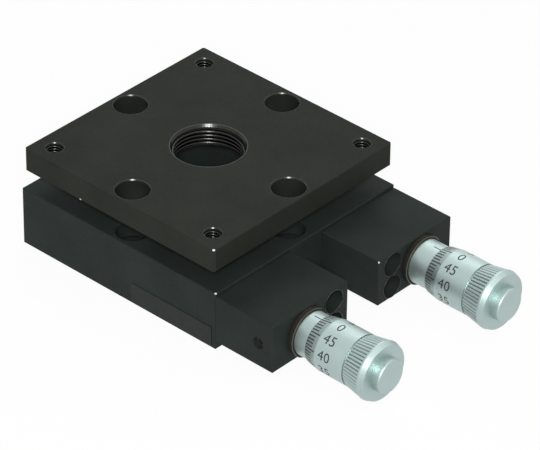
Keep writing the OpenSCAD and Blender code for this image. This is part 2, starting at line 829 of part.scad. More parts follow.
module near_thimble() { thimble(-1); }
module far_thimble() { thimble(1); }

// Star outline of the knurled band, with flat crests
function knurl_outline(r) = [
  for (i = [0 : knurl_teeth - 1]) let (step = 360 / knurl_teeth, a = i * step) each [
    r * [cos(a - knurl_crest_share * step / 2), sin(a - knurl_crest_share * step / 2)],
    r * [cos(a + knurl_crest_share * step / 2), sin(a + knurl_crest_share * step / 2)],
    (r - knurl_depth) * [cos(a + step / 2), sin(a + step / 2)]
  ]
];

// Knurled grip: it flares to a smooth rim, and its hub sits on the spindle's shoulder
module grip(side) {
  flare_share = (grip_d - 2 * rim_step) / grip_neck_d;
  color(satin) at_screw(side) difference() {
    union() {
      translate([groove_x, 0, 0]) rotate([0, 90, 0]) {
        linear_extrude(knurl_l, scale = flare_share) polygon(knurl_outline(grip_neck_d / 2));
      }
      turned([
        [0, rim_x - overrun],
        [grip_d / 2 - 2 * knurl_depth, rim_x - overrun],
        [grip_d / 2 - 2 * knurl_depth, rim_x - rim_round],
        [grip_d / 2, rim_x],
        [grip_d / 2, end_x - rim_bevel_l],
        [grip_d / 2 - rim_bevel, end_x],
        [0, end_x]
      ]);
    }
    bar(spindle_d + 2 * fit_gap, groove_x - overrun, end_x + overrun);
    bar(screw_d + 2 * fit_gap, groove_x - overrun, shoulder_x + fit_gap);
  }
}

module near_grip() { grip(-1); }
module far_grip() { grip(1); }

// Domed cap whose screw holds the grip and thimble on the spindle
module end_cap(side) {
  color(satin) at_screw(side) turned([
    [0, end_x - cap_screw_l],
    [cap_screw_d / 2, end_x - cap_screw_l],
    [cap_screw_d / 2, end_x],
    [cap_d / 2, end_x],
    [cap_d / 2, end_x + cap_t - cap_round],
    for (a = [0 : 15 : 90]) [
      cap_d / 2 - cap_round + cap_round * cos(a), end_x + cap_t - cap_round + cap_round * sin(a)
    ],
    [0, end_x + cap_t]
  ]);
}

module near_end_cap() { end_cap(-1); }
module far_end_cap() { end_cap(1); }

module pivot_ball() {
  color(steel) translate([-ball_x, -head_y, ball_z]) sphere(r = ball_r);
}

module near_ball() {
  color(steel) translate([ball_x, -head_y, ball_z]) sphere(r = ball_r);
}

module far_ball() {
  color(steel) translate([-ball_x, head_y, ball_z]) sphere(r = ball_r);
}

// Places of the three ball seats in the table
seat_places = [[-ball_x, -head_y], [ball_x, -head_y], [-ball_x, head_y]];

module table() {
  color(black) translate([0, 0, table_z]) difference() {
    bevelled_block(table_w, table_w, table_t, table_corner, table_edge);
    at_square(corner_pitch) through_hole(corner_thread_d, table_t, hole_bevel);
    at_cross(bolt_circle_d) through_hole(screw_pass_d, table_t, hole_bevel);
    through_hole(centre_thread_d, table_t, centre_bevel);
    for (p = seat_places) {
      translate([p.x, p.y, 0]) mirror([0, 0, 1]) seat_pocket();
    }
    at_springs() translate([0, 0, -overrun]) {
      cylinder(d = post_screw_d + 2 * fit_gap, h = post_screw_l + fit_gap + overrun);
    }
  }
}

// Seat that hangs from the table over one of the balls
module table_seat(place) {
  color(steel) translate([place.x, place.y, table_z - seat_proud]) mirror([0, 0, 1]) ball_seat();
}

module upper_pivot_seat() { table_seat(seat_places[0]); }
module near_ball_seat() { table_seat(seat_places[1]); }
module far_ball_seat() { table_seat(seat_places[2]); }

// Eye posts screwed into the table's underside, which the springs hook into
module spring_posts() {
  color(steel) at_springs() {
    translate([0, 0, table_z]) cylinder(d = post_screw_d, h = post_screw_l);
    difference() {
      translate([-post_thick / 2, -post_w / 2, table_z - post_drop]) cube([post_thick, post_w, post_drop]);
      translate([0, 0, post_eye_z]) bar(post_eye_d, -post_thick, post_thick);
    }
  }
}

base_body();
near_head_block();
far_head_block();
block_screws();
block_dowels();
clamp_screws();
near_sleeve();
far_sleeve();
near_collar();
far_collar();
near_adjusting_nut();
far_adjusting_nut();
lower_pivot_seat();
rod_bush();
spring_pins();
near_spring();
rear_spring();
blank_label();
near_slide();
near_push_rod();
near_thrust_pad();
far_slide();
far_push_rod();
far_thrust_pad();
near_spindle();
near_thimble();
near_grip();
near_end_cap();
far_spindle();
far_thimble();
far_grip();
far_end_cap();
pivot_ball();
table();
upper_pivot_seat();
near_ball_seat();
far_ball_seat();
near_ball();
far_ball();
spring_posts();
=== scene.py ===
import math

import bmesh
import bpy
from mathutils import Matrix, Vector


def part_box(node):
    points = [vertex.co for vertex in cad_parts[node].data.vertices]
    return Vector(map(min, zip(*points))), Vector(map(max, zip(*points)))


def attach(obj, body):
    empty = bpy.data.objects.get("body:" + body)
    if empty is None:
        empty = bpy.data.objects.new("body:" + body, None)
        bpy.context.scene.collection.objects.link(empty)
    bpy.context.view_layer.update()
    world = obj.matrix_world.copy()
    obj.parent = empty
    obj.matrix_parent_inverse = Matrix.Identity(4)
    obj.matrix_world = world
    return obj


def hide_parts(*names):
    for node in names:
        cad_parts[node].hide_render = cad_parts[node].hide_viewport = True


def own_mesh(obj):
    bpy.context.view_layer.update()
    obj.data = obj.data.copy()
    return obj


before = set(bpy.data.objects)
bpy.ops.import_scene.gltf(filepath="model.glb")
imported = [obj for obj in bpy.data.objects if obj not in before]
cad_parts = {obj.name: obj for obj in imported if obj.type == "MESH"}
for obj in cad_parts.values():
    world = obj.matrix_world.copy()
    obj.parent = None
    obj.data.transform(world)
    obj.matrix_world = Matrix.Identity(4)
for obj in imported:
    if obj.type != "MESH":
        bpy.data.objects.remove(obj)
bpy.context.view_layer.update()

MM = 0.001
SIDES = ("near", "far")

# Camera, from the photograph's perspective
CAMERA_AZIMUTH = 42.32
CAMERA_ELEVATION = 34.67
CAMERA_ROLL = 0.69
CAMERA_DISTANCE = 960.5 * MM
CAMERA_LENS = 277.5
CAMERA_SENSOR = 36
CAMERA_CLIP = (0.05, 20)
CAMERA_AIM = Vector((15.88, 3.90, 10.0)) * MM

# Round lamps: azimuth, elevation, distance, size and power
LAMPS = {
    "front": (CAMERA_AZIMUTH, 36, 1.2, 0.24, 12.5),
    "top": (150, 80, 1.0, 0.60, 0.9),
    "back": (CAMERA_AZIMUTH + 175, 42, 1.2, 0.80, 2.0),
}

# Light that the world gives, and share of the floor that is plain white to the camera
WORLD_LIGHT = 0.32
FLOOR_WHITE = 0.93
FLOOR_REACH = 3.0
FLOOR_DROP = 0.05 * MM

# The scene's own shapes reach this far into the solid under them, and stand this far proud of it
EMBED = 0.02 * MM
MARK_PROUD = 0.008 * MM

# Holes of the table: distance from its middle, radius and bevel
CORNER_REACH = 25 * MM
CORNER_R = 2 * MM
ACCESS_REACH = 25 * MM
ACCESS_R = 4 * MM
CENTRE_R = 8.5 * MM
SMALL_BEVEL = 0.25 * MM
CENTRE_BEVEL = 0.6 * MM
TABLE_RIMS = {
    "centre": (0, CENTRE_R, CENTRE_BEVEL),
    "corner": (CORNER_REACH, CORNER_R, SMALL_BEVEL),
    "access": (ACCESS_REACH, ACCESS_R, SMALL_BEVEL),
}
RIM_SLOPE_SHARE = 0.73
RIM_STEPS = 96

# Threads of the table's holes; the half widths are shares of the pitch
CORNER_PITCH = 0.7 * MM
CORNER_THREAD_STEPS = 40
CENTRE_PITCH = 1.0 * MM
CENTRE_THREAD_STEPS = 96
CENTRE_THREAD_END = 0.5 * MM
THREAD_DEPTH_SHARE = 0.54
ROOT_HALF = 0.46
CREST_HALF = 0.10
RUNOUT_TURNS = 0.25

# Lips of the screw pockets in the head blocks, and worn rims of the collars
POCKET_R = 2.945 * MM
SCREW_HEAD_R = 2.745 * MM
POCKET_LIP = 0.10 * MM
POCKET_LIP_SIDES = 8
COLLAR_BEVEL = 0.18 * MM

# Outer form of the thimbles
SKIRT_FLARE = 0.6 * MM
SKIRT_LIP = 0.1 * MM
SKIRT_BEVEL = 3.4 * MM

# Scale and numbers on the thimbles
DIVISIONS = 50
NUMBERED_EVERY = 5
MARK_WIDTH = 0.29 * MM
MARK_START = 0.15 * MM
SHORT_MARK = 2.0 * MM
LONG_MARK = 2.95 * MM
MARK_ROWS = 5
MARK_COLUMNS = 3
FIRST_NUMBER = 45
FIRST_NUMBER_ANGLE = {"near": 131.0, "far": 128.0}
NUMBER_FROM_MOUTH = 6.0 * MM
NUMBER_HEIGHT = 2.35 * MM
DIGIT_SHARE = 0.70
NUMBER_SPACING = 1.05
NUMBER_CUT = 0.15 * MM
NUMBER_WELD = 0.0005 * MM

# Line and half millimetre marks on the sleeves, which the thimbles uncover
BARREL_R = 5.5 * MM
BARREL_STEP = 0.5 * MM
BARREL_MARKS = 8
INDEX_ANGLE = 92.0
INDEX_BEFORE = 2.2 * MM
INDEX_WIDTH = 0.26 * MM
BARREL_MARK_LENGTH = 1.1 * MM
BARREL_MARK_WIDTH = 0.16 * MM
PLATE_POINTS = 5

# Knurl of the grips: radius of its crests at both ends, length and depth
KNURL_R = (6.45 * MM, 7.24 * MM)
KNURL_L = 4.7 * MM
KNURL_DEPTH = 0.22 * MM

# Springs, drawn along the same centre line as the solids
WIRE_D = 0.7 * MM
HOOK_R = 1.5 * MM
COIL_RISE = 2.0 * MM
HOOK_LEAD = 1.0 * MM
HOOK_START = 120
HOOK_STEPS = 12
COIL_START = 45
COIL_TURNS = 7
STEPS_PER_TURN = 28
LEAD_STEPS = 8
WIRE_SIDES = 12
SPRING_JOINTS = {"near_spring": "pitch", "rear_spring": "roll"}
SPRING_FACING = {"near_spring": 90, "rear_spring": 0}

# Pale bare-metal spots, places and radii: painted highlights where corners catch the light, and one
# chip where the black coat is knocked off
TABLE_NICKS_AND_GLINTS = (
    # Painted highlight at the table's front top corner
    (Vector((29.66, -29.66, 26.62)) * MM, 0.34 * MM),
    # Chip in the coat on the table's lower front edge
    (Vector((-11.8, -30.0, 20.75)) * MM, 0.36 * MM),
)
# Painted highlight at the top of the base's front corner
BASE_CORNER_GLINT = (Vector((30.5, -29.9, 15.3)) * MM, 0.3 * MM)
BLOCK_GLINT_DROP = 0.3 * MM
BLOCK_GLINT_R = 0.33 * MM
SPOT_CORE_SHARE = 0.75

# Colours
TABLE_BLACK = (0.0185, 0.0204, 0.0165)
BASE_BLACK = (0.0188, 0.0240, 0.0215)
COLLAR_BLACK = (0.020, 0.019, 0.017)
COAT_SPECKLE = (0.08, 0.08, 0.08)
COAT_WORN = (0.16, 0.16, 0.16)
# Pale metal of the chips in the coat and of the painted highlights at corners
BARE_METAL_AND_GLINT = (0.72, 0.73, 0.74)
CUT_EDGE = (0.042, 0.044, 0.042)
POCKET_EDGE = (0.064, 0.066, 0.064)
WORN_EDGE = (0.100, 0.094, 0.070)
CHROME = (0.43, 0.53, 0.515)
STEEL = (0.58, 0.59, 0.61)
SPRING_STEEL = (0.55, 0.56, 0.58)
BALL_STEEL = (0.72, 0.73, 0.75)
BRONZE = (0.50, 0.34, 0.17)
BLACKENED_STEEL = (0.09, 0.09, 0.095)
SCALE_PAINT = (0.022, 0.023, 0.024)
LABEL_BLACK = (0.0150, 0.0185, 0.0172)
PAPER = ((0.86, 0.86, 0.86), (0.90, 0.90, 0.90))

# Fine lines of turned and ground metal: how often they change along X, Y and Z
CHROME_LINES = (9000, 60, 60)
BRONZE_LINES = (7000, 90, 90)
GROUND_LINES = (300, 300, 6000)

# Shares of colour that painted shade leaves in the chrome, and of painted shade over its scale
# lines
PAINTED_SHADE_SHARE = 0.48
BAND_PAINTED_SHADE = 0.45


def skirt(side):
    """Place and outer form of a thimble, measured once from its solid."""
    low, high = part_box(f"{side}_thimble")
    return {"mouth_x": low.x, "middle": (low + high) / 2, "full_r": (high.z - low.z) / 2}


SKIRTS = {side: skirt(side) for side in SIDES}


def shaded(colour, share):
    return tuple(c * share for c in colour)


class Shader:
    """A node material under construction, with short ways to add and join nodes."""

    def __init__(self, name):
        self.material = bpy.data.materials.new(name)
        self.material.use_nodes = True
        self.tree = self.material.node_tree
        self.bsdf = self.tree.nodes["Principled BSDF"]

    def node(self, kind, **values):
        made = self.tree.nodes.new(kind)
        for key, value in values.items():
            setattr(made, key, value)
        return made

    def link(self, source, target):
        self.tree.links.new(source, target)

    def place(self):
        return self.node("ShaderNodeTexCoord").outputs["Object"]

    def scaled_place(self, scale):
        mapping = self.node("ShaderNodeMapping")
        mapping.inputs["Scale"].default_value = scale
        self.link(self.place(), mapping.inputs["Vector"])
        return mapping.outputs["Vector"]

    def coordinates(self):
        parts = self.node("ShaderNodeSeparateXYZ")
        self.link(self.place(), parts.inputs[0])
        return [parts.outputs[axis] for axis in "XYZ"]

    def noise(self, scale=1.0, detail=3.0, vector=None):
        made = self.node("ShaderNodeTexNoise")
        made.inputs["Scale"].default_value = scale
        made.inputs["Detail"].default_value = detail
        self.link(vector or self.place(), made.inputs["Vector"])
        return made.outputs["Fac"]

    def spread(self, source, low=0, high=1, from_low=0.3, from_high=0.7):
        """A value from one range spread over another; noise fills most of its standard range."""
        made = self.node("ShaderNodeMapRange")
        made.inputs["From Min"].default_value = from_low
        made.inputs["From Max"].default_value = from_high
        made.inputs["To Min"].default_value = low
        made.inputs["To Max"].default_value = high
        self.link(source, made.inputs["Value"])
        return made.outputs["Result"]

    def math(self, operation, *values):
        made = self.node("ShaderNodeMath", operation=operation)
        for socket, value in zip(made.inputs, values):
            if isinstance(value, (int, float)):
                socket.default_value = value
            else:
                self.link(value, socket)
        return made.outputs["Value"]

    def part(self, value, share):
        return self.math("MULTIPLY", value, share)

    def mix(self, share, first, second):
        made = self.node("ShaderNodeMix", data_type="RGBA")
        colours = [s for s in made.inputs if s.type == "RGBA"]
        self.link(share, made.inputs["Factor"])
        for socket, value in zip(colours, (first, second)):
            if isinstance(value, tuple):
                socket.default_value = (*value, 1)
            else:
                self.link(value, socket)
        return [s for s in made.outputs if s.type == "RGBA"][0]

    def bump(self, height, strength, distance):
        made = self.node("ShaderNodeBump")
        made.inputs["Strength"].default_value = strength
        made.inputs["Distance"].default_value = distance
        self.link(height, made.inputs["Height"])
        return made.outputs["Normal"]

    def edges(self, radius):
        """Nearly 0 on flat faces, and up to 1 near outer edges and corners."""
        bevel = self.node("ShaderNodeBevel", samples=4)
        bevel.inputs["Radius"].default_value = radius
        flat = self.node("ShaderNodeNewGeometry")
        dot = self.node("ShaderNodeVectorMath", operation="DOT_PRODUCT")
        self.link(bevel.outputs["Normal"], dot.inputs[0])
        self.link(flat.outputs["Normal"], dot.inputs[1])
        return self.math("SUBTRACT", 1.0, dot.outputs["Value"])

    def finish(self, colour, roughness=None, normal=None, **constants):
        for key, value in constants.items():
            self.bsdf.inputs[key.replace("_", " ")].default_value = value
        for name, source in (("Base Color", colour), ("Roughness", roughness), ("Normal", normal)):
            if source is not None:
                self.link(source, self.bsdf.inputs[name])
        return self.material


def anodised(name, colour, nicks_and_glints=()):
    """Black anodised aluminium: an etched grain, cloudy colour, slightly paler edges and pale
    spots, which are chips in the coat and painted highlights at corners.
    """
    s = Shader(name)
    cloud = s.noise(scale=90, detail=4)
    grain = s.noise(scale=3800, detail=2)
    base = s.mix(s.spread(cloud), shaded(colour, share=0.86), shaded(colour, share=1.16))
    speckle = s.spread(s.noise(scale=2300, detail=1), from_low=0.62, from_high=0.75)
    base = s.mix(s.part(speckle, share=0.10), base, COAT_SPECKLE)
    edge = s.spread(s.edges(radius=0.14 * MM), from_low=0.02, from_high=0.3)
    broken = s.spread(s.noise(scale=900, detail=3), from_low=0.42, from_high=0.62)
    worn = s.part(s.math("MULTIPLY", edge, broken), share=0.10)
    base = s.mix(worn, base, COAT_WORN)
    # Pale spots: chips in the coat, and painted highlights where corners catch the light
    for point, radius in nicks_and_glints:
        offset = s.node("ShaderNodeVectorMath", operation="DISTANCE")
        s.link(s.place(), offset.inputs[0])
        offset.inputs[1].default_value = point
        near = s.spread(
            offset.outputs["Value"], low=1, high=0,
            from_low=SPOT_CORE_SHARE * radius, from_high=radius,
        )
        base = s.mix(near, base, BARE_METAL_AND_GLINT)
    roughness = s.spread(s.noise(scale=1100, detail=3), low=0.47, high=0.55)
    normal = s.bump(grain, strength=0.35, distance=0.02 * MM)
    return s.finish(base, roughness, normal, Specular_IOR_Level=0.05)


def cut_edge(name, colour):
    """Dark coat that is thin and shiny on cut threads and the rims of holes."""
    s = Shader(name)
    grain = s.noise(scale=1500, detail=2)
    base = s.mix(s.spread(grain), shaded(colour, share=0.8), colour)
    return s.finish(base, s.spread(grain, low=0.22, high=0.30), Metallic=1.0)


def satin_chrome(name, painted_shade=None):
    """Satin plated steel: fine turning lines round the X axis and a soft sheen."""
    s = Shader(name)
    lines = s.noise(detail=3, vector=s.scaled_place(CHROME_LINES))
    smudge = s.noise(scale=260, detail=4)
    base = s.mix(s.spread(smudge), shaded(CHROME, share=0.94), CHROME)
    base = s.mix(s.part(s.spread(lines), share=0.10), base, shaded(CHROME, share=0.7))
    # Painted shade, where a share is given: in the knurl's grooves and over the thimble's scale
    # lines
    if painted_shade:
        base = s.mix(painted_shade(s), base, shaded(CHROME, share=PAINTED_SHADE_SHARE))
    roughness = s.spread(lines, low=0.42, high=0.54)
    normal = s.bump(lines, strength=0.12, distance=0.01 * MM)
    return s.finish(base, roughness, normal, Metallic=1.0)


def knurl_dirt(side):
    """Share of painted shade in the grooves of a grip's knurl, from the distance to the head's
    axis.
    """
    low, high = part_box(f"{side}_grip")
    middle = (low + high) / 2

    def share(s):
        x, y, z = s.coordinates()
        crest_r = s.spread(x, KNURL_R[0], KNURL_R[1], from_low=low.x, from_high=low.x + KNURL_L)
        y = s.math("SUBTRACT", y, middle.y)
        z = s.math("SUBTRACT", z, middle.z)
        squares = s.math("ADD", s.math("MULTIPLY", y, y), s.math("MULTIPLY", z, z))
        depth = s.math("SUBTRACT", crest_r, s.math("SQRT", squares))
        groove = s.spread(depth, from_low=0.02 * MM, from_high=KNURL_DEPTH)
        return s.math("MULTIPLY", groove, s.math("LESS_THAN", x, low.x + KNURL_L))

    return share


def scale_haze(side):
    """Share of painted shade on the part of a thimble that has the scale lines."""
    mouth_x = SKIRTS[side]["mouth_x"]

    def share(s):
        return s.spread(
            s.coordinates()[0], low=BAND_PAINTED_SHADE, high=0,
            from_low=mouth_x + LONG_MARK, from_high=mouth_x + SKIRT_BEVEL,
        )

    return share


def ground_steel(name, colour):
    """Ground steel: straight fine lines and a clear reflection."""
    s = Shader(name)
    lines = s.noise(detail=4, vector=s.scaled_place(GROUND_LINES))
    base = s.mix(s.spread(lines), shaded(colour, share=0.88), colour)
    normal = s.bump(lines, strength=0.15, distance=0.01 * MM)
    return s.finish(base, s.spread(lines, low=0.22, high=0.36), normal, Metallic=1.0)


def polished(name, colour):
    s = Shader(name)
    haze = s.noise(scale=500, detail=3)
    base = s.mix(s.spread(haze), shaded(colour, share=0.96), colour)
    return s.finish(base, s.spread(haze, low=0.07, high=0.14), Metallic=1.0)


def turned_bronze(name, colour):
    s = Shader(name)
    lines = s.noise(detail=3, vector=s.scaled_place(BRONZE_LINES))
    tarnish = s.noise(scale=300, detail=4)
    base = s.mix(s.spread(tarnish), shaded(colour, share=0.7), colour)
    normal = s.bump(lines, strength=0.2, distance=0.01 * MM)
    return s.finish(base, s.spread(lines, low=0.25, high=0.42), normal, Metallic=1.0)


def blackened(name, colour):
    s = Shader(name)
    grain = s.noise(scale=2500, detail=3)
    base = s.mix(s.spread(grain), shaded(colour, share=0.75), shaded(colour, share=1.25))
    normal = s.bump(grain, strength=0.2, distance=0.01 * MM)
    return s.finish(base, s.spread(grain, low=0.30, high=0.44), normal, Metallic=0.85)


def filled_paint(name, colour):
    s = Shader(name)
    grain = s.noise(scale=5000, detail=2)
    base = s.mix(s.spread(grain), shaded(colour, share=0.7), shaded(colour, share=1.3))
    return s.finish(base, s.spread(grain, low=0.45, high=0.6), Specular_IOR_Level=0.4)


def label_film(name, colour):
    s = Shader(name)
    cloud = s.noise(scale=700, detail=3)
    base = s.mix(s.spread(cloud), shaded(colour, share=0.85), shaded(colour, share=1.2))
    normal = s.bump(cloud, strength=0.1, distance=0.01 * MM)
    roughness = s.spread(cloud, low=0.36, high=0.46)
    return s.finish(base, roughness, normal, Specular_IOR_Level=0.12)


def background_rays(tree):
    """1 for rays that show the background: from the camera, from gloss and through glass."""
    path = tree.nodes.new("ShaderNodeLightPath")
    share = path.outputs["Is Camera Ray"]
    for name in ("Is Glossy Ray", "Is Transmission Ray"):
        both_kinds = tree.nodes.new("ShaderNodeMath")
        both_kinds.operation = "MAXIMUM"
        tree.links.new(share, both_kinds.inputs[0])
        tree.links.new(path.outputs[name], both_kinds.inputs[1])
        share = both_kinds.outputs["Value"]
    return share


def pale_floor():
    """White paper that keeps a faint shadow."""
    s = Shader("floor_paper")
    cloud = s.noise(scale=4, detail=3)
    s.finish(s.mix(s.spread(cloud), *PAPER), Roughness=0.9, Specular_IOR_Level=0.1)
    white = s.node("ShaderNodeEmission")
    mixed = s.node("ShaderNodeMixShader")
    s.link(s.part(background_rays(s.tree), share=FLOOR_WHITE), mixed.inputs["Fac"])
    s.link(s.bsdf.outputs["BSDF"], mixed.inputs[1])
    s.link(white.outputs["Emission"], mixed.inputs[2])
    s.link(mixed.outputs["Shader"], s.tree.nodes["Material Output"].inputs["Surface"])
    return s.material


def mesh_object(name, points, faces, smooth=True):
    mesh = bpy.data.meshes.new(name)
    mesh.from_pydata([tuple(p) for p in points], [], faces)
    mesh.validate()
    made = bpy.data.objects.new(name, mesh)
    bpy.context.scene.collection.objects.link(made)
    tidy = bmesh.new()
    tidy.from_mesh(mesh)
    bmesh.ops.recalc_face_normals(tidy, faces=tidy.faces)
    tidy.to_mesh(mesh)
    tidy.free()
    for polygon in mesh.polygons:
        polygon.use_smooth = smooth
    return made


def place_piece(piece, body, material):
    piece.data.materials.clear()
    piece.data.materials.append(material)
    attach(piece, body)


def tube_faces(rows, columns):
    """Faces of an open tube, whose rings of points follow each other in the list."""
    faces = []
    for i in range(rows - 1):
        for k in range(columns):
            n = (k + 1) % columns
            low, high = i * columns, (i + 1) * columns
            faces.append((low + k, low + n, high + n, high + k))
    return faces


def thread_ridge(name, middle, radius, pitch, z_low, z_high, steps):
    """Helical ridge that stands inward from the wall of an upright hole."""
    depth = THREAD_DEPTH_SHARE * pitch
    turns = (z_high - z_low) / pitch - 1
    count = int(turns * steps) + 1
    outer = radius + EMBED
    points = []
    for i in range(count):
        share = i / (count - 1)
        angle = 2 * math.pi * turns * share
        z = z_low + pitch / 2 + share * turns * pitch
        crest = radius - depth * min(1.0, turns * min(share, 1 - share) / RUNOUT_TURNS)
        profile = (
            (outer, -ROOT_HALF), (crest, -CREST_HALF), (crest, CREST_HALF), (outer, ROOT_HALF)
        )
        for r, rise in profile:
            points.append((
                middle.x + r * math.cos(angle), middle.y + r * math.sin(angle), z + rise * pitch
            ))
    corners = len(profile)
    faces = tube_faces(count, corners)
    faces.append(tuple(range(corners)))
    faces.append(tuple((count - 1) * corners + k for k in reversed(range(corners))))
    return mesh_object(name, points, faces)


def ring(name, place, profile):
    """Closed profile of (radius, height) turned round the Z axis and put in its place."""
    points, faces = [], []
    for r, z in profile:
        for k in range(RIM_STEPS):
            a = 2 * math.pi * k / RIM_STEPS
            points.append(place @ Vector((r * math.cos(a), r * math.sin(a), z)))
    for i in range(len(profile)):
        j = (i + 1) % len(profile)
        for k in range(RIM_STEPS):
            n = (k + 1) % RIM_STEPS
            faces.append(tuple(RIM_STEPS * a + b for a, b in ((i, k), (i, n), (j, n), (j, k))))
    return mesh_object(name, points, faces, smooth=False)


def facing_x(x, y, z):
    """Place for a ring that is turned round a line along X."""
    return Matrix.Translation((x, y, z)) @ Matrix.Rotation(math.radians(90), 4, "Y")


def table_rims(material):
    """Steep bright bevels over the dark ones in the table's top."""
    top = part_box("table")[1].z
    for kind, (reach, radius, bevel) in TABLE_RIMS.items():
        start = radius + bevel * RIM_SLOPE_SHARE
        profile = [(radius + bevel, -bevel), (radius + bevel, 0), (start, 0), (radius, -bevel)]
        places = {
            "centre": [(0, 0)],
            "corner": [(reach * x, reach * y) for x in (-1, 1) for y in (-1, 1)],
            "access": [(reach, 0), (0, reach), (-reach, 0), (0, -reach)],
        }[kind]
        for i, (x, y) in enumerate(places):
            piece = ring(f"{kind}_rim_{i}", Matrix.Translation((x, y, top)), profile)
            place_piece(piece, "tilt_table", material)


def table_threads(material):
    low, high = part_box("table")
    for i, (x, y) in enumerate(((-1, -1), (1, -1), (1, 1), (-1, 1))):
        ridge = thread_ridge(
            f"corner_thread_{i}", Vector((x * CORNER_REACH, y * CORNER_REACH, 0)), CORNER_R,
            CORNER_PITCH, low.z + SMALL_BEVEL, high.z - SMALL_BEVEL, CORNER_THREAD_STEPS,
        )
        place_piece(ridge, "tilt_table", material)
    ridge = thread_ridge(
        "centre_thread", Vector((0, 0, 0)), CENTRE_R, CENTRE_PITCH,
        low.z + CENTRE_THREAD_END, high.z - CENTRE_THREAD_END, CENTRE_THREAD_STEPS,
    )
    place_piece(ridge, "tilt_table", material)


def pocket_rims(material):
    """Thin lips round the screw pockets in the head blocks' faces."""
    face_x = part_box("near_head_block")[1].x
    low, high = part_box("block_screws")
    profile = []
    for i in range(POCKET_LIP_SIDES):
        a = 2 * math.pi * i / POCKET_LIP_SIDES
        profile.append((POCKET_R + POCKET_LIP * math.cos(a), POCKET_LIP * math.sin(a)))
    for i, y in enumerate((low.y + SCREW_HEAD_R, high.y - SCREW_HEAD_R)):
        for j, z in enumerate((low.z + SCREW_HEAD_R, high.z - SCREW_HEAD_R)):
            piece = ring(f"pocket_rim_{i}_{j}", facing_x(face_x, y, z), profile)
            place_piece(piece, "base", material)


def collar_rim(side, material):
    """Worn bright bevel round the outer edge of a collar."""
    low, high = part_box(f"{side}_collar")
    middle = (low + high) / 2
    radius = (high.z - low.z) / 2
    inner = radius - COLLAR_BEVEL
    profile = [
        (inner, -EMBED), (inner, MARK_PROUD),
        (radius + MARK_PROUD, -COLLAR_BEVEL), (radius - EMBED, -COLLAR_BEVEL),
    ]
    piece = ring(f"{side}_collar_rim", facing_x(high.x, middle.y, middle.z), profile)
    place_piece(piece, "base", material)


def skirt_radius(side, x):
    """Outer radius of a thimble at x: a cone from the mouth, then a cylinder."""
    form = SKIRTS[side]
    share = (x - form["mouth_x"] - SKIRT_LIP) / (SKIRT_BEVEL - SKIRT_LIP)
    return form["full_r"] - SKIRT_FLARE * (1 - max(0.0, min(1.0, share)))


def on_thimble(side, x, angle, proud):
    middle = SKIRTS[side]["middle"]
    r = skirt_radius(side, x) + proud
    return Vector((x, middle.y + r * math.cos(angle), middle.z + r * math.sin(angle)))


def number_angle(side, value):
    """Angle of a division round its thimble."""
    return math.radians(FIRST_NUMBER_ANGLE[side] - 360 * (value - FIRST_NUMBER) / DIVISIONS)


def curved_plate(middle, radius, x0, x1, low, high):
    """Points and faces of a thin plate on a cylinder round the X axis, between two angles."""
    points, faces = [], []
    count = PLATE_POINTS
    for layer in (-EMBED, MARK_PROUD):
        r = radius + layer
        for x in (x0, x1):
            for k in range(count):
                a = low + (high - low) * k / (count - 1)
                points.append(middle + Vector((x - middle.x, r * math.cos(a), r * math.sin(a))))
    for k in range(count - 1):
        faces.append((k, count + k, count + k + 1, k + 1))
        faces.append(tuple(2 * count + n for n in (k, k + 1, count + k + 1, count + k)))
        faces.append((k, k + 1, 2 * count + k + 1, 2 * count + k))
        faces.append(tuple(count + n for n in (k, 2 * count + k, 2 * count + k + 1, k + 1)))
    for k in (0, count - 1):
        faces.append((k, 2 * count + k, 3 * count + k, count + k))
    return points, faces


def sleeve_scale(side, material):
    """Index line along the sleeve, and half millimetre marks on both sides of it by turns."""
    form = SKIRTS[side]
    angle = math.radians(INDEX_ANGLE)
    line = INDEX_WIDTH / 2 / BARREL_R
    reach = line + BARREL_MARK_LENGTH / BARREL_R
    last_x = form["mouth_x"] + BARREL_MARKS * BARREL_STEP
    plates = [(form["mouth_x"] - INDEX_BEFORE, last_x, angle - line, angle + line)]
    for k in range(BARREL_MARKS):
        x = form["mouth_x"] + (k + 0.5) * BARREL_STEP
        way = 1 if k % 2 else -1
        low, high = sorted((angle + way * line, angle + way * reach))
        plates.append((x - BARREL_MARK_WIDTH / 2, x + BARREL_MARK_WIDTH / 2, low, high))
    for i, (x0, x1, low, high) in enumerate(plates):
        points, faces = curved_plate(form["middle"], BARREL_R, x0, x1, low, high)
        piece = mesh_object(f"{side}_sleeve_mark_{i}", points, faces, smooth=False)
        place_piece(piece, "base", material)


def thimble_marks(side, material):
    """One thin filled line for each division, longer at every numbered one."""
    mouth_x = SKIRTS[side]["mouth_x"]
    rows, columns = MARK_ROWS, MARK_COLUMNS
    size = rows * columns
    rim = (
        [a * columns for a in range(rows)]
        + [(rows - 1) * columns + b for b in range(1, columns)]
        + [a * columns + columns - 1 for a in range(rows - 2, -1, -1)]
        + [b for b in range(columns - 2, 0, -1)]
    )
    points, faces = [], []
    for i in range(DIVISIONS):
        angle = number_angle(side, i)
        length = LONG_MARK if i % NUMBERED_EVERY == 0 else SHORT_MARK
        first = len(points)
        for layer in (-EMBED, MARK_PROUD):
            for a in range(rows):
                x = mouth_x + MARK_START + length * a / (rows - 1)
                for b in range(columns):
                    turn = (b / (columns - 1) - 0.5) * MARK_WIDTH / skirt_radius(side, x)
                    points.append(on_thimble(side, x, angle + turn, layer))
        for a in range(rows - 1):
            for b in range(columns - 1):
                p = first + size + a * columns + b
                faces.append((p, p + 1, p + columns + 1, p + columns))
                q = first + a * columns + b
                faces.append((q, q + columns, q + columns + 1, q + 1))
        for j, p in enumerate(rim):
            q = rim[(j + 1) % len(rim)]
            faces.append((first + p, first + q, first + size + q, first + size + p))
    piece = mesh_object(f"{side}_thimble_marks", points, faces, smooth=False)
    place_piece(piece, f"{side}_micrometer", material)


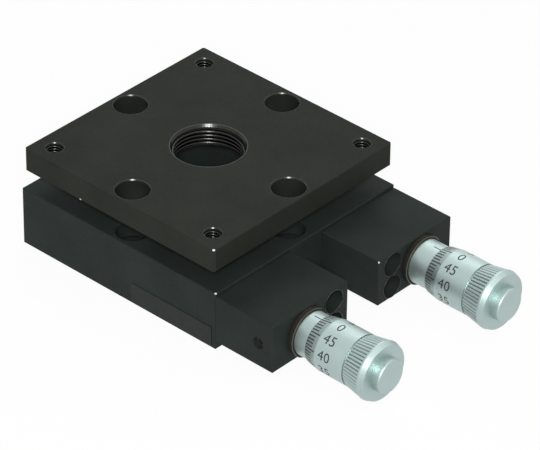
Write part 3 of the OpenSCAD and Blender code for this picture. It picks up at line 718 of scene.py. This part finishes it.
def flat_number(name, value):
    """Plate in the form of a number, cut into strips that can follow a curved face."""
    curve = bpy.data.curves.new(name, "FONT")
    curve.body = str(value)
    curve.align_x = "CENTER"
    curve.align_y = "CENTER"
    curve.size = NUMBER_HEIGHT / DIGIT_SHARE
    curve.extrude = (MARK_PROUD + EMBED) / 2
    curve.space_character = NUMBER_SPACING
    text = bpy.data.objects.new(name, curve)
    bpy.context.scene.collection.objects.link(text)
    bpy.context.view_layer.update()
    flat = bpy.data.meshes.new_from_object(text)
    bpy.data.objects.remove(text)
    shape = bmesh.new()
    shape.from_mesh(flat)
    bpy.data.meshes.remove(flat)
    cuts = round(NUMBER_HEIGHT / NUMBER_CUT)
    for i in range(-cuts, cuts + 1):
        bmesh.ops.bisect_plane(
            shape, geom=shape.verts[:] + shape.edges[:] + shape.faces[:],
            plane_co=(0, i * NUMBER_CUT / 2, 0), plane_no=(0, 1, 0),
        )
    bmesh.ops.triangulate(shape, faces=shape.faces)
    bmesh.ops.remove_doubles(shape, verts=shape.verts, dist=NUMBER_WELD)
    return shape


def thimble_numbers(side, material):
    """Plain numbers 0 to 45 that read along the axis, wrapped on the skirt."""
    middle_x = SKIRTS[side]["mouth_x"] + NUMBER_FROM_MOUTH
    for value in range(0, DIVISIONS, NUMBERED_EVERY):
        name = f"{side}_number_{value}"
        shape = flat_number(name, value)
        angle = number_angle(side, value)
        for v in shape.verts:
            x = middle_x + v.co.x
            proud = v.co.z + (MARK_PROUD - EMBED) / 2
            v.co = on_thimble(side, x, angle - v.co.y / skirt_radius(side, x), proud)
        mesh = bpy.data.meshes.new(name)
        shape.to_mesh(mesh)
        shape.free()
        piece = bpy.data.objects.new(mesh.name, mesh)
        bpy.context.scene.collection.objects.link(piece)
        place_piece(piece, f"{side}_micrometer", material)


def spring_line(z_low, z_high, coil_r):
    """Centre line of an extension spring: hook, lead and coil, and the same again turned round."""
    low_hook = z_low + WIRE_D / 2 + HOOK_R
    middle = (z_low + z_high) / 2
    coil_z = low_hook + COIL_RISE
    span = 360 * COIL_TURNS + 360 - 2 * COIL_START
    pitch = 2 * (middle - coil_z) / (span / 360)

    def coil(a):
        turn = math.radians(COIL_START + a)
        return Vector((coil_r * math.cos(turn), coil_r * math.sin(turn), coil_z + pitch * a / 360))

    half = []
    for k in range(HOOK_STEPS + 1):
        a = math.radians(HOOK_START + (360 - HOOK_START) * k / HOOK_STEPS)
        half.append(Vector((HOOK_R * math.cos(a), 0, low_hook + HOOK_R * math.sin(a))))
    first = Vector((HOOK_R, 0, low_hook))
    second = first + Vector((0, 0, HOOK_LEAD))
    last = coil(0)
    third = last - HOOK_LEAD * (coil(1) - last).normalized()
    for k in range(1, LEAD_STEPS):
        t = k / LEAD_STEPS
        q = 1 - t
        half.append(q ** 3 * first + 3 * q * q * t * second + 3 * q * t * t * third + t ** 3 * last)
    steps = round(span / 2 / (360 / STEPS_PER_TURN))
    half += [coil(span / 2 * k / steps) for k in range(steps)]
    turned = [Vector((p.x, -p.y, 2 * middle - p.z)) for p in reversed(half)]
    return half + [coil(span / 2)] + turned


def wire_mesh(name, line, radius):
    """Round wire along a line, whose rings turn no more than the line needs."""
    points = []
    side = Vector((0, 1, 0))
    for i, p in enumerate(line):
        along = (line[min(i + 1, len(line) - 1)] - line[max(i - 1, 0)]).normalized()
        side = (side - along * side.dot(along)).normalized()
        up = along.cross(side)
        for k in range(WIRE_SIDES):
            a = 2 * math.pi * k / WIRE_SIDES
            points.append(p + radius * (math.cos(a) * side + math.sin(a) * up))
    faces = tube_faces(len(line), WIRE_SIDES)
    faces.append(tuple(reversed(range(WIRE_SIDES))))
    faces.append(tuple((len(line) - 1) * WIRE_SIDES + k for k in range(WIRE_SIDES)))
    return mesh_object(name, points, faces)


def spring_wire(node, material):
    """Smooth spring in place of the solid one."""
    low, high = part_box(node)
    middle = (low + high) / 2
    line = spring_line(low.z, high.z, (high.x - low.x - WIRE_D) / 2)
    facing = Matrix.Rotation(math.radians(SPRING_FACING[node]), 4, "Z")
    place = Matrix.Translation((middle.x, middle.y, 0)) @ facing
    piece = wire_mesh(f"{node}_wire", [place @ p for p in line], WIRE_D / 2)
    place_piece(piece, "base", material)
    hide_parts(node)
    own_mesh(piece)


def coat(material, *nodes):
    for name in nodes:
        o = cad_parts[name]
        o.data.materials.clear()
        o.data.materials.append(material)


def both(*endings):
    return [f"{side}_{ending}" for side in SIDES for ending in endings]


def block_nick():
    """Painted highlight near the top of the far block's upright edge that faces the camera."""
    low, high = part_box("far_head_block")
    return Vector((high.x, low.y, high.z - BLOCK_GLINT_DROP)), BLOCK_GLINT_R


def view_from(azimuth, elevation):
    """Direction from the aim to a camera or lamp, and its turn when it looks back at the aim."""
    a, e = math.radians(azimuth), math.radians(elevation)
    back = Vector((math.sin(a) * math.cos(e), -math.cos(a) * math.cos(e), math.sin(e)))
    return back, (-back).to_track_quat("-Z", "Y")


def add_camera():
    data = bpy.data.cameras.new("camera")
    data.lens = CAMERA_LENS
    data.sensor_width = CAMERA_SENSOR
    data.clip_start, data.clip_end = CAMERA_CLIP
    camera = bpy.data.objects.new("camera", data)
    back, level = view_from(CAMERA_AZIMUTH, CAMERA_ELEVATION)
    roll = Matrix.Rotation(math.radians(CAMERA_ROLL), 4, "Z").to_quaternion()
    camera.location = CAMERA_AIM + back * CAMERA_DISTANCE
    camera.rotation_mode = "QUATERNION"
    camera.rotation_quaternion = level @ roll
    bpy.context.scene.collection.objects.link(camera)
    bpy.context.scene.camera = camera


def add_lamp(name, azimuth, elevation, distance, size, power):
    data = bpy.data.lights.new(name, "AREA")
    data.shape = "DISK"
    data.size = size
    data.energy = power
    lamp = bpy.data.objects.new(name, data)
    back, level = view_from(azimuth, elevation)
    lamp.location = CAMERA_AIM + back * distance
    lamp.rotation_mode = "QUATERNION"
    lamp.rotation_quaternion = level
    bpy.context.scene.collection.objects.link(lamp)


def add_world():
    world = bpy.data.worlds.new("studio")
    bpy.context.scene.world = world
    world.use_nodes = True
    tree = world.node_tree
    background = tree.nodes["Background"]
    seen = tree.nodes.new("ShaderNodeMapRange")
    tree.links.new(background_rays(tree), seen.inputs["Value"])
    seen.inputs["To Min"].default_value = WORLD_LIGHT
    seen.inputs["To Max"].default_value = 1.0
    tree.links.new(seen.outputs["Result"], background.inputs["Strength"])
    background.inputs["Color"].default_value = (1, 1, 1, 1)


def add_floor():
    corners = ((-1, -1), (1, -1), (1, 1), (-1, 1))
    points = [(x * FLOOR_REACH, y * FLOOR_REACH, -FLOOR_DROP) for x, y in corners]
    floor = mesh_object("floor", points, [(0, 1, 2, 3)], smooth=False)
    floor.data.materials.append(pale_floor())


steel = ground_steel("ground_steel", STEEL)
wire = ground_steel("spring_wire", SPRING_STEEL)
# Pale spots on the black coat: painted highlights at the table's and base's front corners and the
# far block's top corner, and one chip on the table's lower front edge
coat(anodised("table_black", TABLE_BLACK, TABLE_NICKS_AND_GLINTS), "table")
black_base = anodised("base_black", BASE_BLACK, (BASE_CORNER_GLINT, block_nick()))
coat(black_base, "base_body", *both("head_block"))
coat(anodised("collar_black", COLLAR_BLACK), *both("collar"))
coat(satin_chrome("satin_chrome"), *both("sleeve", "end_cap"))
for side in SIDES:
    coat(satin_chrome(f"{side}_scale_chrome", scale_haze(side)), f"{side}_thimble")
    coat(satin_chrome(f"{side}_knurl_chrome", knurl_dirt(side)), f"{side}_grip")
coat(steel, "block_dowels", "lower_pivot_seat", "upper_pivot_seat", "spring_pins")
coat(steel, *both("slide", "push_rod", "spindle", "ball_seat"))
coat(wire, "near_spring", "rear_spring")
coat(polished("ball_steel", BALL_STEEL), "pivot_ball", "near_ball", "far_ball")
coat(turned_bronze("turned_bronze", BRONZE), "rod_bush", *both("adjusting_nut", "thrust_pad"))
screw = blackened("blackened_steel", BLACKENED_STEEL)
coat(screw, "block_screws", "clamp_screws", "spring_posts")
coat(label_film("label_film", LABEL_BLACK), "blank_label")

bright_cut = cut_edge("cut_edge", CUT_EDGE)
table_threads(bright_cut)
table_rims(bright_cut)
pocket_rims(cut_edge("pocket_edge", POCKET_EDGE))
worn_edge = cut_edge("worn_edge", WORN_EDGE)
paint = filled_paint("scale_paint", SCALE_PAINT)
for side in SIDES:
    collar_rim(side, worn_edge)
    sleeve_scale(side, paint)
    thimble_marks(side, paint)
    thimble_numbers(side, paint)
for node in SPRING_JOINTS:
    spring_wire(node, wire)

add_camera()
add_world()
add_floor()
for name, values in LAMPS.items():
    add_lamp(name, *values)

bpy.context.scene.view_settings.view_transform = "Standard"
